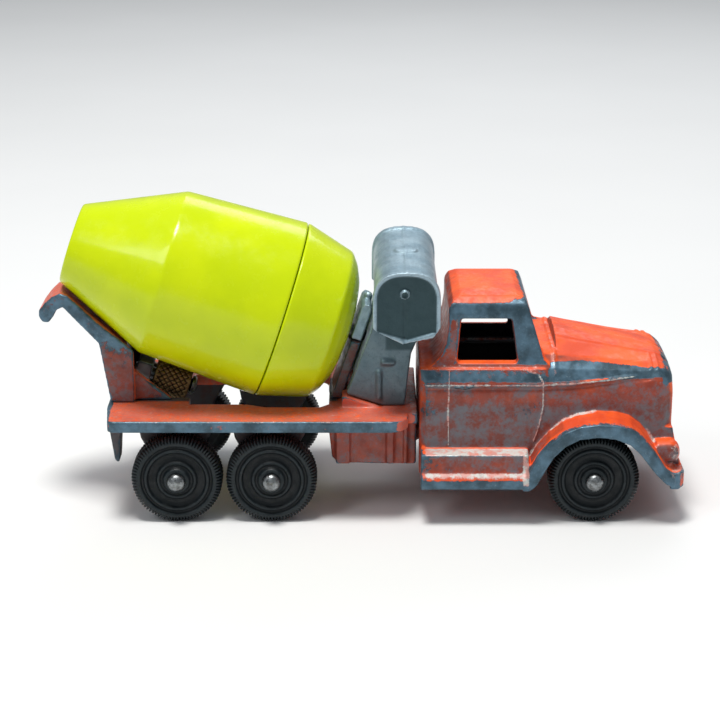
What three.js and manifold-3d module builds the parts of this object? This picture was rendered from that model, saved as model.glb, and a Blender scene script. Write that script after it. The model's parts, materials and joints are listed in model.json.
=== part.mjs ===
// A toy cement mixer truck: three castings, a water tank, a two-part plastic drum and six plastic wheels.
// Millimetres. +X is the front of the truck, +Y its left side, +Z up, and the wheels stand on Z = 0.
import * as THREE from "three";
import { mergeVertices } from "three/addons/utils/BufferGeometryUtils.js";
import Module from "manifold-3d";

const wasm = await Module();
wasm.setup();

// ---------- driving dimensions ----------
const FIT_GAP = 0.3; // between castings that are fastened together
const SEAT_GAP = 0.1; // between level faces that rest on each other
const SMALLEST_EDGE = 0.01; // shorter edges left by cuts are merged away
const RUNNING_GAP = 0.06; // radial, between an axle and what turns on it

const WHEEL = { radius: 7.2, outer: 15.3, width: 4.6, hubRadius: 2.6, sides: 28 };
const AXLE = { radius: 1.0, headRadius: 1.45, headLength: 1.2, sides: 20 };
const REAR_AXLE_X = -29;
const MIDDLE_AXLE_X = -14;
const FRONT_AXLE_X = 37;

const DECK = { rear: -39.6, front: 7.6, halfWidth: 15.3, top: 17.2, bottom: 15.4 };
const WELL = { rear: -27.4, front: -5.0, halfWidth: 7.0, bellyHalfWidth: 8.3, bellyRear: -18 };
const ROLLER_SLOT = { rear: -35.4, halfWidth: 3.8 };

const CAB = { rear: 9.4, front: 49.5, halfWidth: 12.5, belt: 24.7, sill: 5.8, wall: 1.5 };
const FLOOR = { bottom: 13.2, top: 14.5 };
const BOARD = { rear: 9.6, front: 26.6, halfWidth: 16.3 };
const FENDER_HALF_WIDTH = 16.4;
const BUMPER = { rear: 49.0, front: 51.3, halfWidth: 15.4, bottom: 5.9, top: 8.7 };

const HOOD_NOSE = 47.2; // where the hood starts to round over into the nose
const WINDOW = { low: 25.4, high: 32.5, draft: 0.4 };
const LAMP = { x: 46.8, y: 12.6, z: 11.4, sides: 20 };
// The front fender's rim seen from the side: an arch over the wheel that runs down to the bumper.
const FENDER_OUTER = [
  [25.6, 5.9], [26.5, 8.8], [27.9, 11.5], [29.8, 13.9], [32.0, 15.7], [34.3, 16.7], [37.2, 17.1],
  [40.2, 16.9], [42.5, 16.2], [44.1, 14.9], [45.6, 13.1], [47.0, 11.1], [48.2, 9.2], [49.6, 8.2],
];
const FENDER_INNER = [
  [49.6, 6.4], [48.2, 7.0], [46.6, 8.6], [45.2, 10.4], [43.9, 12.1], [42.3, 13.6],
  [40.0, 14.6], [37.2, 14.9], [34.3, 14.5], [32.1, 13.3], [30.3, 11.4], [28.9, 8.9], [27.9, 6.9], [26.8, 5.9],
];
const FENDER_RISE = 1.2; // how much higher the fender meets the body than its rim

const TANK = { rear: 1.95, front: 12.45, halfLength: 14, rimWidth: 1.3, rimHeight: 0.3 };
const TANK_ARCH = { z: 36.4, rise: 4.7, steps: 16, power: 0.78 }; // a power below 1 squares the arch's shoulders
const PIPE = { x: 3.0, y: 7.9, radius: 0.5, sides: 14 };

// The drum turns about an axis that runs down towards the cab. s is measured along it from this point.
const DRUM = { tilt: THREE.MathUtils.degToRad(18.4), x: -20, z: 33.4, wall: 1.2, sides: 48 };
const MOUTH = { s: -27.4, radius: 6.45 };
const SHOULDER = { s: -12.1, radius: 13.5 };
const SEAM = { s: 7.7, radius: 14.55 };
const FRONT_RING = { s: 15.9, radius: 12.3 };
const DRUM_END = { s: 18.9, radius: 5.2 };
const COLLAR = { length: 2.6, thickness: 0.9 }; // the front shell's ring inside the rear shell
const SPINDLE = { radius: 1.1, end: 22.0, headRadius: 2.1, sides: 20 };
const BEARING_GAP = 0.15; // radial, round the spindle, and between the two halves of its bearing
const SEAM_GAP = 0.15; // each side of the drum's seam
const ROLLER = { radius: 3.0, rear: -8.6, front: -2.6 };
const ROLLER_CLEARANCE = 0.15; // between the roller and the drum that it carries
const ROLLER_WEB = { rear: -11.7, front: -9.1, halfWidth: 4.6 };
const ROLLER_PIN = { radius: 1.0, headRadius: 1.6, sides: 20 };
const BRACKET = { rear: 19.6, front: 21.2, halfWidth: 4.6 };

const CAB_RIVETS = [[14, -4.5], [14, 4.5]];
const TANK_RIVET = [4.6, 0];
const SUPPORT_RIVETS = [[-37.3, -3.0], [-37.3, 3.0]];
const RIVET = { radius: 1.0, hole: 1.2, head: 1.9, headHeight: 0.8, sides: 16 };

// ---------- colours ----------
const paint = { color: 0xe2501f, roughness: 0.42, metalness: 0.1 };
const zinc = { color: 0x7d929c, roughness: 0.4, metalness: 0.85 };
const yellowPlastic = { color: 0xc3d600, roughness: 0.25, metalness: 0 };
const blackPlastic = { color: 0x14181b, roughness: 0.5, metalness: 0 };
const steel = { color: 0xb4b8ba, roughness: 0.35, metalness: 1 };
const knurledBrass = { color: 0x8c7440, roughness: 0.4, metalness: 0.9 };

// ---------- solids ----------
// A closed three.js geometry as a solid, turned right side out if it is inside out.
function solid(geometry) {
  const plain = geometry.clone();
  plain.deleteAttribute("normal");
  plain.deleteAttribute("uv");
  const merged = mergeVertices(plain, 1e-4);
  const corners = new Uint32Array(merged.index.array);
  const vertProperties = merged.attributes.position.array;
  const build = () => new wasm.Manifold(new wasm.Mesh({ numProp: 3, vertProperties, triVerts: corners }));
  let made = build();
  if (made.volume() < 0) {
    for (let i = 0; i < corners.length; i += 3) {
      [corners[i + 1], corners[i + 2]] = [corners[i + 2], corners[i + 1]];
    }
    made = build();
  }
  return made;
}

function geometryOf(body) {
  const mesh = body.getMesh();
  const stride = mesh.numProp;
  const position = new Float32Array(mesh.numVert * 3);
  for (let i = 0; i < mesh.numVert; i++) {
    position.set(mesh.vertProperties.subarray(i * stride, i * stride + 3), i * 3);
  }
  const geometry = new THREE.BufferGeometry();
  geometry.setAttribute("position", new THREE.BufferAttribute(position, 3));
  geometry.setIndex(new THREE.BufferAttribute(mesh.triVerts, 1));
  geometry.computeVertexNormals();
  return geometry;
}

const join = (...bodies) => bodies.reduce((all, body) => all.add(body));
const cut = (body, ...tools) => tools.reduce((left, tool) => left.subtract(tool), body);

function block([x0, x1], [y0, y1], [z0, z1]) {
  const geometry = new THREE.BoxGeometry(x1 - x0, y1 - y0, z1 - z0);
  return solid(geometry.translate((x0 + x1) / 2, (y0 + y1) / 2, (z0 + z1) / 2));
}

function extrude(outline, depth) {
  const shape = new THREE.Shape(outline.map(([a, b]) => new THREE.Vector2(a, b)));
  return new THREE.ExtrudeGeometry(shape, { depth, bevelEnabled: false });
}

// An outline of [x, z] points, from y0 to y1.
function sidePrism(outline, [y0, y1]) {
  return solid(extrude(outline, y1 - y0).rotateX(Math.PI / 2).translate(0, y1, 0));
}

// An outline of [y, z] points, from x0 to x1.
function endPrism(outline, [x0, x1]) {
  const turn = new THREE.Matrix4().makeBasis(
    new THREE.Vector3(0, 1, 0),
    new THREE.Vector3(0, 0, 1),
    new THREE.Vector3(1, 0, 0),
  );
  return solid(extrude(outline, x1 - x0).applyMatrix4(turn).translate(x0, 0, 0));
}

// An outline of [x, y] points, from z0 to z1.
function planPrism(outline, [z0, z1]) {
  return solid(extrude(outline, z1 - z0).translate(0, 0, z0));
}

// Half of a symmetric outline, as [across, along] points, with its mirror image added.
const mirrored = (half) => [...half, ...half.map(([a, b]) => [-a, b]).reverse()];

// The same for a plan: half of it as [across, forward] points, the whole as [x, y] points.
const mirroredPlan = (half) => mirrored(half).map(([y, x]) => [x, y]);

// What make(side) gives for the right side (-1) and the left side (1).
const bothSides = (make) => [-1, 1].map(make);

// A profile of [along, radius] points turned about the X axis.
function turned(profile, sides) {
  const points = profile.map(([along, radius]) => new THREE.Vector2(radius, along));
  return solid(new THREE.LatheGeometry(points, sides).rotateZ(-Math.PI / 2));
}

// The same, turned about the Y axis at [x, z], with along measured on Y.
function turnedAcross(profile, sides, [x, z]) {
  const points = profile.map(([along, radius]) => new THREE.Vector2(radius, along));
  return solid(new THREE.LatheGeometry(points, sides).translate(x, 0, z));
}

// The same, turned about a vertical axis at [x, y], with along measured on Z.
function turnedUpright(profile, sides, [x, y]) {
  const points = profile.map(([along, radius]) => new THREE.Vector2(radius, along));
  return solid(new THREE.LatheGeometry(points, sides).rotateX(Math.PI / 2).translate(x, y, 0));
}

const rod = (from, to, radius) => [[from, 0], [from, radius], [to, radius], [to, 0]];

// A skin over rings of points that all have the same count, closed at both ends.
function loft(rings) {
  const count = rings[0].length;
  const position = rings.flat(2);
  const index = [];
  for (let r = 0; r + 1 < rings.length; r++) {
    for (let i = 0; i < count; i++) {
      const a = r * count + i;
      const b = r * count + ((i + 1) % count);
      index.push(a, b, a + count, b, b + count, a + count);
    }
  }
  const last = (rings.length - 1) * count;
  for (let i = 1; i + 1 < count; i++) {
    index.push(0, i + 1, i, last, last + i, last + i + 1);
  }
  const geometry = new THREE.BufferGeometry();
  geometry.setAttribute("position", new THREE.Float32BufferAttribute(position, 3));
  geometry.setIndex(index);
  return solid(geometry);
}

const moved = (body, matrix) => solid(geometryOf(body).applyMatrix4(matrix));
const tilted = (body) => moved(body, new THREE.Matrix4().makeRotationY(DRUM.tilt).setPosition(DRUM.x, 0, DRUM.z));
const lowered = (body, z) => moved(body, new THREE.Matrix4().makeTranslation(0, 0, z));

// The stretch from a to b on one side of the middle plane: side is 1 for the left and -1 for the right.
const span = (side, a, b) => [Math.min(side * a, side * b), Math.max(side * a, side * b)];

// ---------- drum outline, shared by the shells and by what has to clear them ----------
const drumOutline = (grow) => [
  [MOUTH.s - grow, 0],
  [MOUTH.s - grow, MOUTH.radius + grow],
  [SHOULDER.s, SHOULDER.radius + grow],
  [SEAM.s, SEAM.radius + grow],
  [FRONT_RING.s + grow / 2, FRONT_RING.radius + grow],
  [DRUM_END.s + grow, DRUM_END.radius + grow],
  [DRUM_END.s + grow, 0],
];
const drumClearance = tilted(turned(drumOutline(0.5), DRUM.sides));

// ---------- cab ----------
// Half of the hood's cross-section at x: the sill, the side, the shoulder and the crown.
function hoodRing(x) {
  const along = (x - 28) / 20;
  const nose = Math.max(0, (x - HOOD_NOSE) / (CAB.front - HOOD_NOSE));
  const rounding = nose * nose;
  const crown = 29.5 - 4.3 * along - 1.4 * rounding;
  const shoulderY = 11.3 - 1.6 * along - 1.2 * rounding;
  const shoulderZ = 24.7 - 0.8 * along - 1.1 * rounding;
  const sideY = CAB.halfWidth - 1.0 * along - 1.4 * rounding;
  const half = [
    [sideY - 0.4, CAB.sill + 1.2],
    [sideY, 14],
    [sideY - 0.1, 20.4],
    [(sideY + shoulderY) / 2 + 0.3, shoulderZ - 1.6],
    [shoulderY, shoulderZ],
    [shoulderY * 0.82, shoulderZ + (crown - shoulderZ) * 0.42],
    [shoulderY * 0.5, shoulderZ + (crown - shoulderZ) * 0.78],
    [shoulderY * 0.2, crown - 0.1],
  ];
  return mirrored(half).map(([y, z]) => [x, y, z]);
}

// The fender's top slopes up from its rim to the body.
function fender(side) {
  const inner = 10.6;
  const slope = -FENDER_RISE / (FENDER_HALF_WIDTH - inner);
  const lean = new THREE.Matrix4().set(
    1, 0, 0, 0,
    0, 1, 0, 0,
    0, side * slope, 1, -slope * FENDER_HALF_WIDTH,
    0, 0, 0, 1,
  );
  return moved(sidePrism([...FENDER_OUTER, ...FENDER_INNER], span(side, inner, FENDER_HALF_WIDTH)), lean);
}

function runningBoards() {
  const half = [
    [11.6, CAB.sill], [15.4, CAB.sill], [BOARD.halfWidth, 6.4], [BOARD.halfWidth, 7.7],
    [15.9, 8.2], [15.2, 8.8], [15.0, 11.5], [12.2, 11.9], [11.6, 11.9],
  ];
  const stretch = [BOARD.rear, BOARD.front];
  return join(endPrism(half, stretch), endPrism(half.map(([y, z]) => [-y, z]).reverse(), stretch));
}

function greenhouse() {
  const side = [
    [9.7, 24.4], [11.4, 25.2], [12.8, 26.6], [13.6, 28.6], [13.9, 31.0], [13.9, 33.8], [14.5, 35.0], [15.8, 35.7],
    [20.0, 36.0], [24.6, 35.7], [26.0, 35.0], [26.5, 33.8], [28.9, 26.0], [30.4, 24.4],
  ];
  const section = mirrored([[11.1, 24.4], [10.4, 26.2], [9.5, 33.0], [8.9, 34.6], [7.5, 35.6], [3.5, 36.0]]);
  return sidePrism(side, [-12, 12]).intersect(endPrism(section, [9, 31]));
}

function cabCavity() {
  const side = [
    [11.0, FLOOR.top], [11.0, 23.0], [14.8, 27.6], [15.4, 34.2], [25.0, 34.2], [27.3, 26.5], [27.3, FLOOR.top],
  ];
  const section = mirrored([[10.9, FLOOR.top], [10.9, 22.8], [9.1, 26.0], [8.1, 33.0], [6.6, 34.2]]);
  return sidePrism(side, [-12, 12]).intersect(endPrism(section, [10, 28]));
}

// A side window at y: its reveal narrows by inset towards the inside.
function windowRing(y, inset) {
  const low = WINDOW.low + inset;
  const high = WINDOW.high - inset;
  return [[15.2 + inset, y, low], [24.8 - inset, y, low], [24.0 - inset, y, high], [15.6 + inset, y, high]];
}

function windows() {
  const sides = loft([
    windowRing(-13, 0), windowRing(-10.2, 0), windowRing(-8.3, WINDOW.draft),
    windowRing(8.3, WINDOW.draft), windowRing(10.2, 0), windowRing(13, 0),
  ]);
  const windscreen = endPrism(mirrored([[8.0, 26.6], [7.3, 32.6]]), [25.0, 31.0]);
  return join(sides, windscreen);
}

function hoodCavity() {
  const side = [[29.0, 4], [29.0, 26.2], [36.0, 24.9], [46.4, 22.2], [48.0, 20.5], [48.0, 4]];
  const section = mirrored([[10.0, 4], [10.0, 19.5], [8.6, 22.0], [4.0, 24.6]]);
  return sidePrism(side, [-12, 12]).intersect(endPrism(section, [28, 50]));
}

function cabCasting() {
  const lowerSection = mirrored([
    [CAB.halfWidth - 0.4, CAB.sill + 1.2], [CAB.halfWidth, 14], [CAB.halfWidth - 0.1, 20.4],
    [12.2, 23.1], [11.5, CAB.belt], [4, CAB.belt],
  ]);
  const lowerPlan = [
    [29, -13], [29, 13], [CAB.rear + 1.2, 13], [CAB.rear + 1.2, CAB.halfWidth], [CAB.rear, CAB.halfWidth - 1.2],
    [CAB.rear, -CAB.halfWidth + 1.2], [CAB.rear + 1.2, -CAB.halfWidth], [CAB.rear + 1.2, -13],
  ];
  const lower = endPrism(lowerSection, [CAB.rear, 29]).intersect(planPrism(lowerPlan, [0, 40]));
  const hood = loft([27.5, 33, 38, 43, HOOD_NOSE, 48.2, 49.0, CAB.front].map(hoodRing));
  const archOutline = [...[...FENDER_INNER].reverse(), [49.6, 4], [26.8, 4]];
  const arch = sidePrism(archOutline, [-20, 20]);
  const underFloor = block([CAB.rear + CAB.wall, 27.4], [-11, 11], [4, FLOOR.bottom]);
  const tongueNotch = block([CAB.rear - 1, CAB.rear + 2], [-8.4, 8.4], [4, FLOOR.bottom]);
  const bumper = planPrism(mirroredPlan([
    [BUMPER.halfWidth - 1.4, BUMPER.front], [BUMPER.halfWidth, BUMPER.front - 1], [BUMPER.halfWidth, BUMPER.rear],
  ]), [BUMPER.bottom, BUMPER.top]);
  const apronOutline = [[48.1, 7.0], [48.1, 15.0], [CAB.front, 15.0], [50.2, 11.8], [51.1, 8.6], [51.1, 7.0]];
  const apron = sidePrism(apronOutline, [-11.6, 11.6]);
  const shell = cut(
    join(cut(join(lower, hood), arch), greenhouse()),
    cabCavity(), windows(), hoodCavity(), underFloor, tongueNotch,
  );
  const body = join(
    shell, bumper, apron, runningBoards(),
    ...bothSides(fender), ...bothSides(frontAxlePlate), ...bothSides(lamp),
  );
  const wheelRoom = bothSides((side) => turnedAcross(
    rod(...span(side, 10.3, 15.9), WHEEL.radius + 0.4),
    32, [FRONT_AXLE_X, WHEEL.radius],
  ));
  return cut(body, ...wheelRoom, ...cabRivetHoles());
}

// A plate under the hood that holds one end of the front axle.
function frontAxlePlate(side) {
  const outline = [[34.0, 24], [34.4, 6.6], [35.4, 5.4], [38.6, 5.4], [39.6, 6.6], [40.0, 23.2]];
  return cut(sidePrism(outline, span(side, 7.4, 9.2)), axleHole(FRONT_AXLE_X));
}

function lamp(side) {
  const profile = [[0, 0], [0, 1.9], [2.4, 2.0], [3.3, 1.6], [3.7, 0.9], [3.8, 0]];
  return moved(turned(profile, LAMP.sides), new THREE.Matrix4().makeTranslation(LAMP.x, side * LAMP.y, LAMP.z));
}

// ---------- chassis ----------
const rivetHole = (at, bottom, top) => turnedUpright(rod(bottom, top, RIVET.hole), RIVET.sides, at);
const cabRivetHoles = () => CAB_RIVETS.map((at) => rivetHole(at, 10, 15));
const axleHole = (x) => turnedAcross(rod(-20, 20, AXLE.radius + FIT_GAP), AXLE.sides, [x, WHEEL.radius]);

function chassisDeck() {
  const edge = DECK.halfWidth;
  const plan = mirroredPlan([
    [8, DECK.rear - 0.8], [edge - 0.6, DECK.rear], [edge, DECK.rear + 0.8], [edge, DECK.front - 2.6],
    [edge - 0.7, DECK.front - 1.1], [edge - 2.2, DECK.front], [11.2, DECK.front], [11.2, CAB.rear - FIT_GAP],
  ]);
  const plate = planPrism(plan, [DECK.bottom, DECK.top]);
  const well = planPrism(mirroredPlan([
    [WELL.halfWidth, WELL.rear], [WELL.halfWidth, WELL.bellyRear], [WELL.bellyHalfWidth, WELL.bellyRear + 3],
    [WELL.bellyHalfWidth, WELL.front - 1.5], [WELL.bellyHalfWidth - 1.5, WELL.front],
  ]), [10, 20]);
  const slot = block([ROLLER_SLOT.rear, WELL.rear + 1], [-ROLLER_SLOT.halfWidth, ROLLER_SLOT.halfWidth], [10, 20]);
  const ramp = sidePrism([[-2.9, 16.5], [-2.9, 18.9], [-2.3, 19.0], [3.2, 17.2], [3.2, 16.5]], [-8.6, 8.6]);
  const bracketRoom = tilted(block([BRACKET.rear - FIT_GAP, BRACKET.front + FIT_GAP], [-4.9, 4.9], [-18, 0]))
    .intersect(block([-10, 10], [-10, 10], [DECK.top, 40]));
  const sideBoxes = bothSides((side) => sidePrism(
    [[-5.2, 15.6], [-4.5, 9.0], [-3.4, 8.0], [9.0, 7.8], [9.0, 15.6]],
    span(side, 4.6, 9.3),
  ));
  const boxRibs = bothSides((side) => join(...[[-3.9, -1.6], [4.2, 5.4], [7.0, 7.6]].map(
    (stretch) => block(stretch, span(side, 9.0, 9.9), [8.0, 15.6]),
  )));
  const tongue = block([7.0, 19.0], [-7.2, 7.2], [11.2, FLOOR.bottom - SEAT_GAP]);
  const hangers = bothSides((side) => join(...[REAR_AXLE_X, MIDDLE_AXLE_X].map((x) => sidePrism(
    [
      [x - 6.6, 15.6], [x - 6.0, 12.4], [x - 2.8, 6.4], [x - 1.8, 5.4],
      [x + 1.8, 5.4], [x + 2.8, 6.4], [x + 4.4, 11.6], [x + 6.6, 15.6],
    ],
    span(side, 8.2, 9.8),
  ))));
  const flaps = bothSides((side) => sidePrism(
    [[-39.4, 15.6], [-38.7, 10.4], [-38.3, 9.9], [-37.9, 10.2], [-37.5, 15.6]],
    span(side, 10.8, 14.0),
  ));
  const axleHoles = [REAR_AXLE_X, MIDDLE_AXLE_X].map(axleHole);
  const rivetHoles = [...SUPPORT_RIVETS, TANK_RIVET].map((at) => rivetHole(at, 14, 20));
  return cut(
    join(cut(plate, well, slot), cut(ramp, bracketRoom), ...sideBoxes, ...boxRibs, tongue, ...hangers, ...flaps),
    ...axleHoles, ...rivetHoles, ...cabRivetHoles(), drumClearance,
  );
}

// ---------- rear drum support, with the discharge chute ----------
function chuteSupport() {
  const base = DECK.top + SEAT_GAP;
  const lip = [
    [-47.2, 32.7], [-48.2, 32.2], [-48.9, 30.9], [-49.7, 29.9], [-50.7, 29.9], [-51.3, 30.8], [-51.2, 31.8],
    [-50.1, 33.2], [-48.9, 34.3], [-47.6, 34.9], [-46.4, 34.6],
  ];
  const outline = [[-36.2, base], [-40.0, base], [-41.5, 27.2], ...lip, [-36.1, 26.0]];
  const plan = [[-35, -6.4], [-35, 6.4], [-41.8, 6.4], [-51.5, 3.5], [-51.5, -3.5], [-41.8, -6.4]];
  const trough = [[-35, -4.9], [-35, 4.9], [-41.6, 4.9], [-47.4, 3.3], [-47.4, -3.3], [-41.6, -4.9]];
  const troughFloor = [[-37.5, 40], [-37.5, 25.4], [-40.4, 28.2], [-46.6, 34.2], [-48, 40]];
  const underTrough = [[-50, base - 1], [-39.0, base - 1], [-39.0, 25.0], [-41.2, 26.9], [-48, 32]];
  const room = planPrism(trough, [0, 60]);
  const legsRoom = [[-37.6, base - 1], [-37.6, 40], [-30, 40], [-30, base - 1]];
  const casting = cut(
    sidePrism(outline, [-8, 8]).intersect(planPrism(plan, [0, 60])),
    sidePrism(troughFloor, [-8, 8]).intersect(room),
    sidePrism(underTrough, [-8, 8]).intersect(room),
    sidePrism(legsRoom, [-4.9, 4.9]),
  );
  const gussets = bothSides((side) => sidePrism(
    [[-38.0, base], [-38.0, 23.6], [-36.6, 22.6], [-30.4, base + 0.2], [-30.4, base]],
    span(side, 4.1, 5.3),
  ));
  const webWidth = [-ROLLER_WEB.halfWidth, ROLLER_WEB.halfWidth];
  const web = tilted(block([ROLLER_WEB.rear, ROLLER_WEB.front], webWidth, [-22, -14]))
    .intersect(block([-40, -30], [-5, 5], [base, 30]));
  const foot = block([-38.6, -35.4], [-5.0, 5.0], [base, 19.4]);
  const pinBore = rod(-14, ROLLER.rear, ROLLER_PIN.radius + 0.2);
  const pinHole = tilted(lowered(turned(pinBore, ROLLER_PIN.sides), rollerDrop()));
  const rivetHoles = SUPPORT_RIVETS.map((at) => rivetHole(at, 14, 19.1));
  return cut(join(casting, ...gussets, web, foot), pinHole, drumClearance, ...rivetHoles);
}

// How far below the drum's axis the roller's axis runs, with a small gap under the drum.
function rollerDrop() {
  const middle = (ROLLER.rear + ROLLER.front) / 2;
  const share = (middle - SHOULDER.s) / (SEAM.s - SHOULDER.s);
  const drumRadius = SHOULDER.radius + share * (SEAM.radius - SHOULDER.radius);
  return -(drumRadius + ROLLER_CLEARANCE + ROLLER.radius);
}

// ---------- front drum bearing ----------
const spindleHole = () => turned(rod(15, 25, SPINDLE.radius + BEARING_GAP), SPINDLE.sides);

function frontBracket() {
  const plate = block([BRACKET.rear, BRACKET.front], [-BRACKET.halfWidth, BRACKET.halfWidth], [-16, -BEARING_GAP]);
  return tilted(cut(plate, spindleHole())).intersect(block([-10, 10], [-10, 10], [DECK.top + SEAT_GAP, 40]));
}

function bearingCap() {
  const outline = [[19.5, BEARING_GAP], [19.5, 5.6], [19.9, 6.2], [20.7, 6.2], [21.2, 5.6], [21.2, BEARING_GAP]];
  const knob = turnedUpright([[6.0, 0], [6.0, 0.7], [6.8, 0.7], [7.2, 0.4], [7.3, 0]], 14, [20.3, 0]);
  return tilted(join(cut(sidePrism(outline, [-4.2, 4.2]), spindleHole()), knob));
}

// ---------- water tank and its pedestal ----------
// The tank's end view: a round top, upright sides and a shallow keel. grow moves it outwards.
function tankOutline(grow) {
  const middle = (TANK.rear + TANK.front) / 2;
  const half = (TANK.front - TANK.rear) / 2 + grow;
  const top = [];
  const squared = (value) => Math.sign(value) * Math.abs(value) ** TANK_ARCH.power;
  for (let i = 0; i <= TANK_ARCH.steps; i++) {
    const turn = Math.PI * (i / TANK_ARCH.steps);
    const up = (TANK_ARCH.rise + grow) * squared(Math.sin(turn));
    top.push([middle + half * squared(Math.cos(turn)), TANK_ARCH.z + up]);
  }
  return [
    [middle - half, 32.2 - grow], [TANK.rear + 0.7, 31.5 - grow], [middle - 0.6, 29.6 - grow],
    [TANK.front - 1.1, 30.6 - grow], [middle + half, 32.2 - grow], ...top,
  ];
}

function waterTank() {
  const barrelEnd = TANK.halfLength - TANK.rimWidth;
  const rims = bothSides((side) => sidePrism(
    tankOutline(0), span(side, barrelEnd, TANK.halfLength),
  ));
  const barrel = sidePrism(tankOutline(-TANK.rimHeight), [-barrelEnd - 0.2, barrelEnd + 0.2]);
  const knobs = bothSides((side) => turnedAcross(
    [[13.8, 0], [13.8, 0.7], [14.3, 0.6], [14.55, 0.3], [14.6, 0]].map(([y, r]) => [side * y, r]), 14, [6.9, 37.6],
  ));
  const filler = turnedUpright([[40.0, 0], [40.0, 2.0], [41.0, 1.8], [41.2, 0]], 20, [7.3, 0]);
  return join(barrel, ...rims, ...knobs, filler);
}

function tankPedestal() {
  const outline = [
    [-2.1, 19.35], [1.7, 29.6], [2.6, 33], [10.0, 33], [9.5, 29.4], [8.1, 26.0],
    [7.1, 17.3], [3.6, 17.3], [-1.6, 19.0],
  ];
  const base = sidePrism(outline, [-PIPE.y, PIPE.y]);
  const tankRoom = sidePrism(tankOutline(-TANK.rimHeight + 0.15), [-20, 20]);
  const capRoom = tilted(block([15, 22.4], [-5.0, 5.0], [-18, 9]));
  const seated = base.intersect(block([-10, 20], [-10, 10], [DECK.top + SEAT_GAP, 40]));
  const rampRoom = sidePrism([[-6, 15], [-6, 20.2], [-2.3, 19.1], [3.6, 17.1], [3.6, 15]], [-12, 12]);
  return cut(
    join(seated, ...bothSides(pedestalPipe)),
    tankRoom, capRoom, rampRoom, rivetHole(TANK_RIVET, 14, 21.3),
  );
}

// The upright pipe on one side of the pedestal, and the short one above it that points forward.
function pedestalPipe(side) {
  const y = side * PIPE.y;
  const r = PIPE.radius;
  const upright = [[18.4, 0], [18.4, r], [22.9, r], [23.3, 0.7 * r], [23.4, 0]];
  const stub = [[3.4, 0], [3.4, r], [5.1, r], [5.5, 0.7 * r], [5.6, 0]];
  return join(
    turnedUpright(upright, PIPE.sides, [PIPE.x, y]),
    moved(turned(stub, PIPE.sides), new THREE.Matrix4().makeTranslation(0, y, 24.6)),
  );
}

// ---------- drum ----------
function drumRearShell() {
  const inner = (radius) => radius - DRUM.wall;
  return turned([
    [MOUTH.s, MOUTH.radius], [SHOULDER.s, SHOULDER.radius], [SEAM.s - SEAM_GAP, SEAM.radius],
    [SEAM.s - SEAM_GAP, inner(SEAM.radius)], [SHOULDER.s, inner(SHOULDER.radius)],
    [MOUTH.s, inner(MOUTH.radius)], [MOUTH.s, MOUTH.radius],
  ], DRUM.sides);
}

function drumFrontShell() {
  const wall = DRUM.wall;
  const collar = SEAM.radius - wall - FIT_GAP;
  const collarInner = collar - COLLAR.thickness;
  const collarEnd = SEAM.s - COLLAR.length;
  const bore = SPINDLE.radius + BEARING_GAP;
  return turned([
    [SEAM.s + SEAM_GAP, SEAM.radius], [FRONT_RING.s, FRONT_RING.radius], [17.2, 10.6], [18.3, 8.2],
    [DRUM_END.s, DRUM_END.radius], [DRUM_END.s, bore], [DRUM_END.s - 3.0, bore], [DRUM_END.s - 3.0, 3.0],
    [DRUM_END.s - wall, 3.4], [17.2, 7.6], [16.2, 9.8], [FRONT_RING.s - 1.0, FRONT_RING.radius - wall],
    [SEAM.s + 0.6, collarInner], [collarEnd, collarInner], [collarEnd, collar],
    [SEAM.s + SEAM_GAP, collar], [SEAM.s + SEAM_GAP, SEAM.radius],
  ], DRUM.sides);
}

function drumSpindle() {
  const head = DRUM_END.s - 3.3;
  const { radius: r, headRadius, end, sides } = SPINDLE;
  return turned([
    [head - 1.0, 0], [head - 1.0, headRadius - 0.7], [head - 0.5, headRadius], [head, headRadius],
    [head, r], [end, r], [end, 0],
  ], sides);
}

function carrierRoller() {
  const bore = ROLLER_PIN.radius + RUNNING_GAP;
  const r = ROLLER.radius;
  return turned([
    [ROLLER.rear, bore], [ROLLER.rear, r - 0.3], [ROLLER.rear + 0.3, r], [ROLLER.front - 0.3, r],
    [ROLLER.front, r - 0.3], [ROLLER.front, bore], [ROLLER.rear, bore],
  ], 28);
}

function rollerPin() {
  const end = ROLLER.front + 0.2;
  const start = ROLLER_WEB.rear - 0.3;
  const { radius: r, headRadius, sides } = ROLLER_PIN;
  return turned([
    [start, 0], [start, r], [end, r], [end, headRadius], [end + 0.5, headRadius], [end + 0.9, r], [end + 0.9, 0],
  ], sides);
}

// ---------- wheels and axles ----------
// A wheel about the Y axis at the origin, with its outer face towards +Y.
function wheel(side) {
  const { radius: r, outer, width, hubRadius } = WHEEL;
  const inner = outer - width;
  const bore = AXLE.radius + RUNNING_GAP;
  const profile = [
    [inner, bore], [inner, hubRadius], [inner + 0.8, 4.2], [inner, 5.4], [inner + 0.1, 6.7], [inner + 0.7, r],
    [outer - 1.3, r], [outer - 0.7, 6.8], [outer - 0.6, 5.2], [outer - 1.1, 4.2], [outer - 0.9, hubRadius + 0.3],
    [outer - 0.2, hubRadius], [outer, 1.9], [outer, bore], [inner, bore],
  ];
  return turnedAcross(profile.map(([y, radius]) => [side * y, radius]), WHEEL.sides, [0, 0]);
}

function axle() {
  const inside = WHEEL.outer + 0.25;
  const { radius: r, headRadius, headLength } = AXLE;
  const half = [
    [inside, r], [inside, headRadius], [inside + headLength * 0.5, headRadius * 0.88],
    [inside + headLength * 0.85, headRadius * 0.55], [inside + headLength, 0],
  ];
  return turnedAcross([...half.map(([y, radius]) => [-y, radius]).reverse(), ...half], AXLE.sides, [0, 0]);
}

// ---------- rivets ----------
function rivet([x, y], bottom, top) {
  const { radius: r, head, headHeight: h } = RIVET;
  return turnedUpright([
    [bottom - h, 0], [bottom - h, head * 0.6], [bottom - h * 0.4, head], [bottom, head], [bottom, r],
    [top, r], [top, 0],
  ], RIVET.sides, [x, y]);
}

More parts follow.
